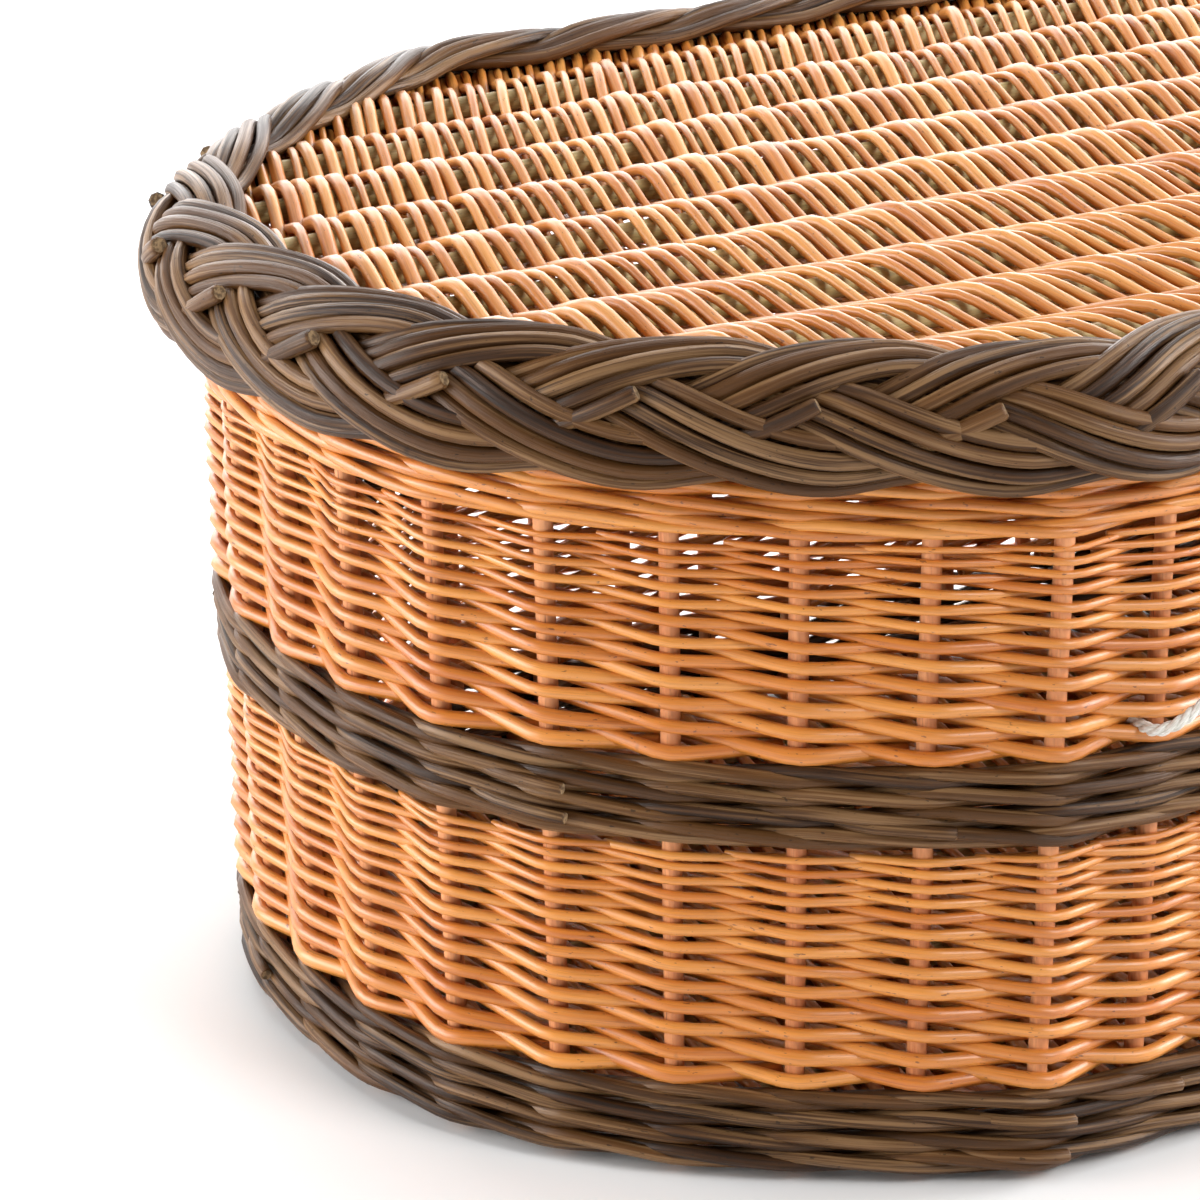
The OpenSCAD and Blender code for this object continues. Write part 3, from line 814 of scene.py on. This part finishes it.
def even_line(points, step):
    """A smooth line through the points, with its own points at an even step, and its length."""
    curve, length = smooth_through(points, 10)
    at = np.linspace(0, length[-1], int(length[-1] / step) + 1)
    return np.stack([np.interp(at, length, curve[:, a]) for a in range(3)], axis=1), length[-1]


def twisted_cord(name, points, diameter, pitch):
    """Three plies laid round the route, which together have the cord's diameter."""
    line, length = even_line(points, CORD_STEP)
    plies = Bundle(53, sides=7)
    ply_r = diameter / 2 * PLY_SHARE
    orbit = diameter / 2 - ply_r
    reference = np.array([0.35, 0.15, -0.92])  # a direction that the route never takes
    side, up = rod_frames(line, reference, False)
    at = np.linspace(0, length, len(line))
    for k in range(3):
        turn = (2 * math.pi * (at / pitch + k / 3))[:, None]
        plies.rod(line + orbit * (np.cos(turn) * side + np.sin(turn) * up), ply_r, reference=reference)
    return plies.build(name, COTTON), line, length


def cord_knots(name, centres, radius):
    """Each knot is one thick strand wound as a trefoil."""
    strands = Bundle(59, sides=10)
    t = np.linspace(0, 2 * math.pi, 60, endpoint=False)
    across, up = np.sin(t) + 2 * np.sin(2 * t), np.cos(t) - 2 * np.cos(2 * t)
    trefoil = np.stack([across, -1.4 * np.sin(3 * t), up], axis=1) / 3
    strand = 0.36 * radius
    for centre in centres:
        path = np.array(centre) + trefoil * (radius - strand)
        strands.rod(path, strand, closed=True, reference=np.array([0.11, 1.0, 0.07]))
    return strands.build(name, COTTON)


# ---------------------------------------------------------------- camera, light and floor


AIM = (-0.1871, 0.0230, 0.1108)
AZIMUTH, ELEVATION, ROLL = math.radians(-29.23), math.radians(21.01), math.radians(-0.5)
DISTANCE = 1.4406
LENS = 146.3        # mm, for a sensor 36 mm wide
FLOOR_HALF = 12.0
LIGHTS_AIM = (0, 0, 0.1)
LIGHTS = [  # name, place, width and height, watts
    ("back", (1.1, 2.4, 1.2), (4.6, 2.2), 145),
    ("left", (-2.4, 1.0, 0.7), (2.4, 1.7), 100),
    ("right", (2.3, -0.7, 0.8), (1.0, 1.3), 80),
    ("top", (0.0, 0.2, 2.6), (2.0, 2.0), 26),
    ("front", (0.7, -1.9, 1.6), (1.0, 0.8), 34)]


def make_camera():
    """The camera stands to the left of the front, above the lid, and shows the left end."""
    back = Vector((math.sin(AZIMUTH) * math.cos(ELEVATION), -math.cos(AZIMUTH) * math.cos(ELEVATION),
                   math.sin(ELEVATION)))
    camera = bpy.data.objects.new("camera", bpy.data.cameras.new("camera"))
    camera.data.sensor_width = 36.0
    camera.data.lens = LENS
    camera.data.clip_end = 50.0
    camera.location = Vector(AIM) + DISTANCE * back
    level = back.to_track_quat("Z", "Y").to_matrix()
    camera.rotation_euler = (level @ Matrix.Rotation(ROLL, 3, "Z")).to_euler()
    bpy.context.scene.collection.objects.link(camera)
    bpy.context.scene.camera = camera


def make_floor():
    mesh = bpy.data.meshes.new("floor")
    r = FLOOR_HALF
    mesh.from_pydata([(-r, -r, 0), (r, -r, 0), (r, r, 0), (-r, r, 0)], [], [(0, 1, 2, 3)])
    g = Graph("floor_paper")
    tint = g.noise(g.scaled(g.object_place(), (3, 3, 3)), 2.0)
    g.put(g.shader.inputs["Base Color"], g.mix(tint, (0.86, 0.86, 0.86), (0.90, 0.90, 0.90)))
    g.shader.inputs["Roughness"].default_value = 0.9
    mesh.materials.append(g.material)
    floor = bpy.data.objects.new("floor", mesh)
    bpy.context.scene.collection.objects.link(floor)


def make_world():
    """A white studio, bright up to the horizon and dim above, where the wax would mirror it."""
    world = bpy.data.worlds.new("studio")
    world.use_nodes = True
    nodes, links = world.node_tree.nodes, world.node_tree.links
    height = nodes.new("ShaderNodeSeparateXYZ")
    links.new(nodes.new("ShaderNodeTexCoord").outputs["Generated"], height.inputs["Vector"])
    glow = nodes.new("ShaderNodeMapRange")
    glow.interpolation_type = "SMOOTHSTEP"
    for name, value in {"From Min": 0.06, "From Max": 0.30, "To Min": 1.0, "To Max": 0.12}.items():
        glow.inputs[name].default_value = value
    links.new(height.outputs["Z"], glow.inputs["Value"])
    links.new(glow.outputs["Result"], nodes["Background"].inputs["Strength"])
    nodes["Background"].inputs["Color"].default_value = (1.0, 1.0, 1.0, 1.0)
    bpy.context.scene.world = world
    bpy.context.scene.view_settings.view_transform = "Standard"


def make_lights():
    for name, place, size, power in LIGHTS:
        data = bpy.data.lights.new(name, "AREA")
        data.shape = "RECTANGLE"
        data.size, data.size_y = size
        data.energy = power
        light = bpy.data.objects.new(name, data)
        light.location = place
        light.rotation_euler = (Vector(place) - Vector(LIGHTS_AIM)).to_track_quat("Z", "Y").to_euler()
        bpy.context.scene.collection.objects.link(light)


# ---------------------------------------------------------------- the basket


def fit(piece, body, slot, *nodes):
    """Puts a finished piece on its body in place of the CAD nodes, which it hides; slot is not used."""
    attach(piece, body)
    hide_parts(*nodes)
    return piece


def finish_cad(nodes, skin):
    """Gives the CAD's own rods one material."""
    for node in nodes:
        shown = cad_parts[node]
        shown.data.materials.clear()
        shown.data.materials.append(skin)
        for face in shown.data.polygons:
            face.material_index = 0


def fit_tie():
    """The cord from knot to knot over the peg."""
    route, exit_point = cord_path()
    cord, cord_line, cord_length = twisted_cord("tie_cord_plies", route, CORD_D, 11 * MM)
    knot_low, knot_high = span("tie_knots")
    knot_r = (knot_high[2] - knot_low[2]) / 2
    knot_y = (knot_low[1] + knot_high[1]) / 2
    centres = [(side * -exit_point[0], knot_y, exit_point[2]) for side in (-1, 1)]
    knots = cord_knots("tie_cord_knots", centres, knot_r)
    fit(cord, "basket", "cotton_cord", "tie_cord")
    fit(knots, "basket", "cotton_cord", "tie_knots")
    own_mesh(cord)


def fit_wall():
    """The wall's randed bands, its wales and its border."""
    fit(randed_band("lower_rand", 12, 2.3 * MM, 1.15 * MM, 11), "basket", "buff_willow", "lower_rand")
    fit(randed_band("upper_rand", 11, 2.15 * MM, 1.0 * MM, 13), "basket", "buff_willow", "upper_rand")
    foot = waled_band("foot_wale", 4, 2.05 * MM, BROWN, CUT_BROWN, 17, butts=9, loose=0.7 * MM)
    middle = waled_band("middle_wale", 4, 2.05 * MM, BROWN, CUT_BROWN, 19, butts=12, loose=0.6 * MM)
    top = waled_band("top_wale", 4, 1.7 * MM, BUFF, CUT_PALE, 23, butts=0, loose=0.8 * MM)
    fit(foot, "basket", "brown_willow", "foot_wale")
    fit(middle, "basket", "brown_willow", "middle_wale")
    fit(top, "basket", "buff_willow", "top_wale")
    fit(rope_border("body_border_rope", "body_border", 29), "basket", "buff_willow", "body_border")


def fit_panels():
    """The woven lid and base, with the hoops round them."""
    low, high = span("base_frame")
    base_off = high[1] - HALF_W
    hoop_r = (high[2] - low[2]) / 4
    base_rings = [(base_off - hoop_r * 1.6, z) for z in (low[2] + hoop_r, high[2] - hoop_r)]
    lid_rings = [(RIM_OFF - 2.4 * MM, LID_Z + 3.6 * MM), (RIM_OFF + 2.6 * MM, LID_Z + 3.8 * MM)]
    lid = woven_panel("lid_weavers", LID_STICKS, RIM_OFF - 1 * MM, 3.05 * MM, 1.75 * MM, 0.3, 31,
                      lid_lean, BUFF_LID, 1 * MM)
    base = woven_panel("base_weavers", BASE_STICKS, base_off - 4 * MM, 4.0 * MM, 1.95 * MM, 0.2, 37,
                       no_lean, BUFF, 0.0)
    fit(lid, "lid", "buff_willow", "lid_weave")
    fit(base, "basket", "buff_willow", "base_weave")
    fit(hoop_rods("base_hoops", base_rings, hoop_r, BROWN, 39), "basket", "brown_willow", "base_frame")
    fit(hoop_rods("lid_hoops", lid_rings, 3.2 * MM, BROWN, 40), "lid", "brown_willow", "lid_frame")


def fit_lid_edge():
    """The plait round the lid, the hinge behind it and the peg in front."""
    fit(plait("lid_plait_rods", 61), "lid", "brown_willow", "lid_plait")
    loops, holders = hinge_pieces()
    fit(loops, "lid", "brown_willow", "hinge_loops")
    fit(holders, "basket", "buff_willow", "rod_holders")
    fit(turned_peg(), "lid", "peeled_willow", "tie_peg")


make_camera()
fit_tie()
fit_wall()
fit_panels()
fit_lid_edge()
finish_cad(["front_stakes", "back_stakes", "left_end_stakes", "right_end_stakes"], STAKE_SKIN)
finish_cad(["hinge_rod"] + LID_STICKS + BASE_STICKS, PEELED)
make_floor()
make_world()
make_lights()
